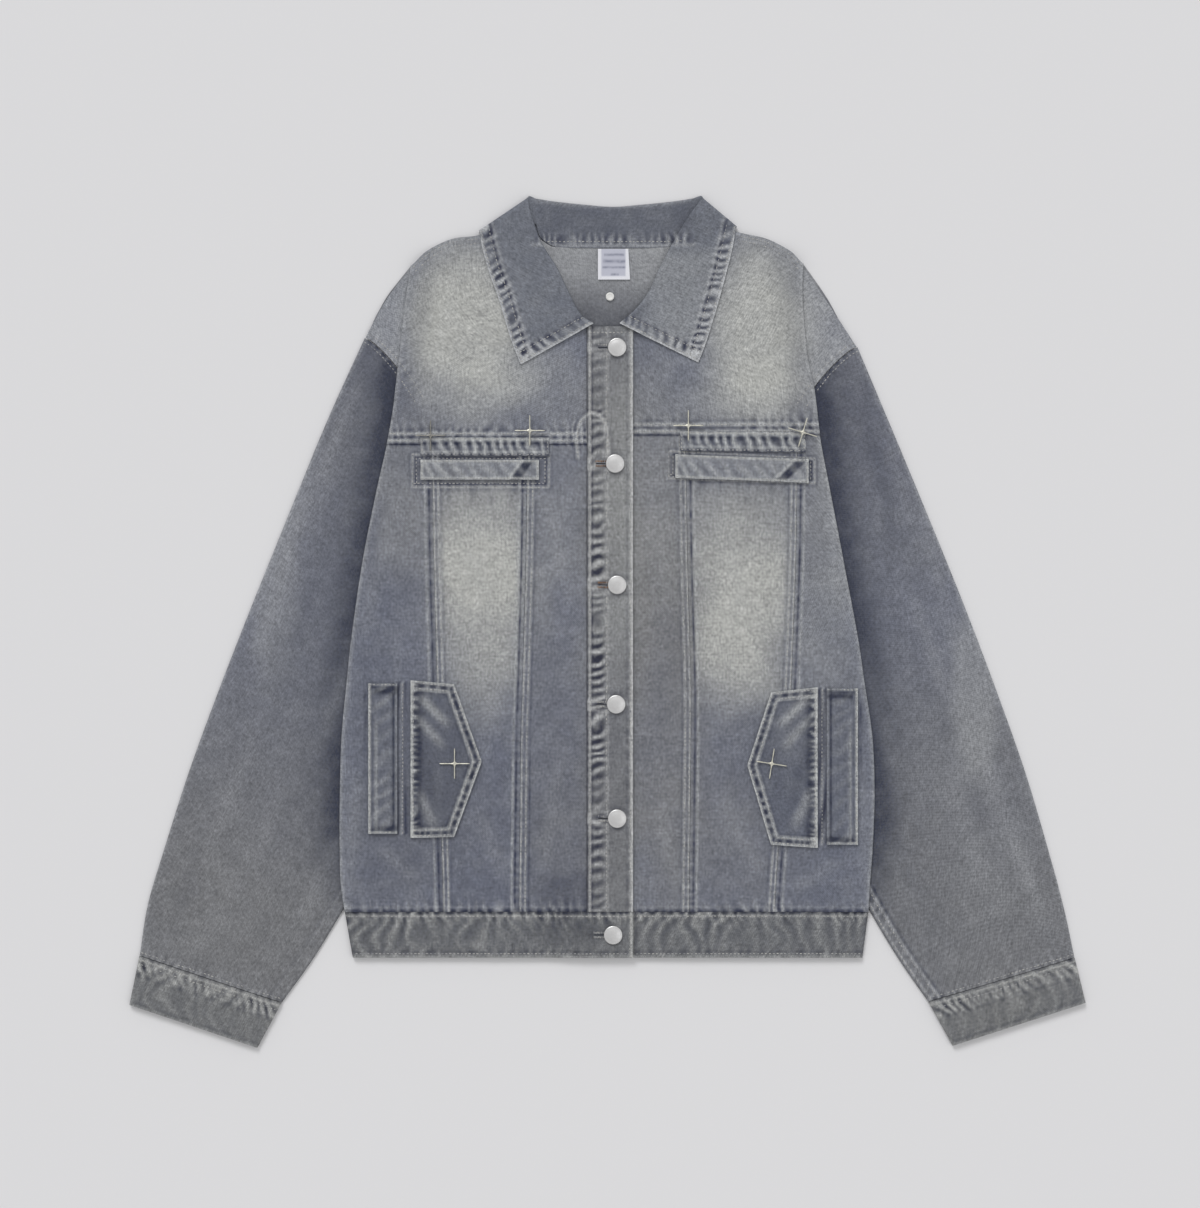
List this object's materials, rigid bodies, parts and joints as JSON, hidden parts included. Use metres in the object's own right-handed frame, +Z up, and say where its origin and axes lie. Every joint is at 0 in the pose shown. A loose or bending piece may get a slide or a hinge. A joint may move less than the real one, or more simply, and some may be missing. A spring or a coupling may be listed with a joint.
{
  "type": "denim jacket",
  "caption": "Button-front denim jacket laid flat on its back, with yokes, chest and side pockets, folded collar, banded cuffs and hem; the body's sides fold over its sleeves.",
  "frame": {"origin": "Middle of the jacket's outline on the surface it lies on, at the underside of the back panel.", "axes": "+X to the right as seen from above, +Y towards the collar, +Z up from the surface, front of the jacket up."},
  "size_m": [0.8596, 0.7666, 0.0111],
  "materials": {
    "denim": "washed blue-grey twill",
    "denim_faded": "worn, pale twill",
    "denim_inside": "inner face of twill",
    "denim_band": "doubled twill, puckered",
    "satin_metal": "satin",
    "label_cloth": "smooth woven",
    "white_stud": "glossy"
  },
  "bodies": {
    "root": {"front_yoke_left": "denim_faded", "front_centre_left": "denim", "front_middle_left": "denim_faded", "front_side_left": "denim", "sleeve_left": "denim", "cuff_left": "denim_band", "chest_strip_left": "denim", "chest_welt_left": "denim", "pocket_welt_left": "denim", "pocket_flap_left": "denim", "front_yoke_right": "denim_faded", "front_centre_right": "denim", "front_middle_right": "denim_faded", "front_side_right": "denim", "sleeve_right": "denim", "cuff_right": "denim_band", "chest_strip_right": "denim", "chest_welt_right": "denim", "pocket_welt_right": "denim", "pocket_flap_right": "denim", "back_panel": "denim_inside", "placket": "denim_faded", "waistband": "denim_band", "collar": "denim", "button_1": "satin_metal", "cross_stud_1": "satin_metal", "button_2": "satin_metal", "cross_stud_2": "satin_metal", "button_3": "satin_metal", "cross_stud_3": "satin_metal", "button_4": "satin_metal", "cross_stud_4": "satin_metal", "button_5": "satin_metal", "cross_stud_5": "satin_metal", "button_6": "satin_metal", "cross_stud_6": "satin_metal", "neck_label": "label_cloth", "neck_stud": "white_stud"}
  },
  "joints": []
}
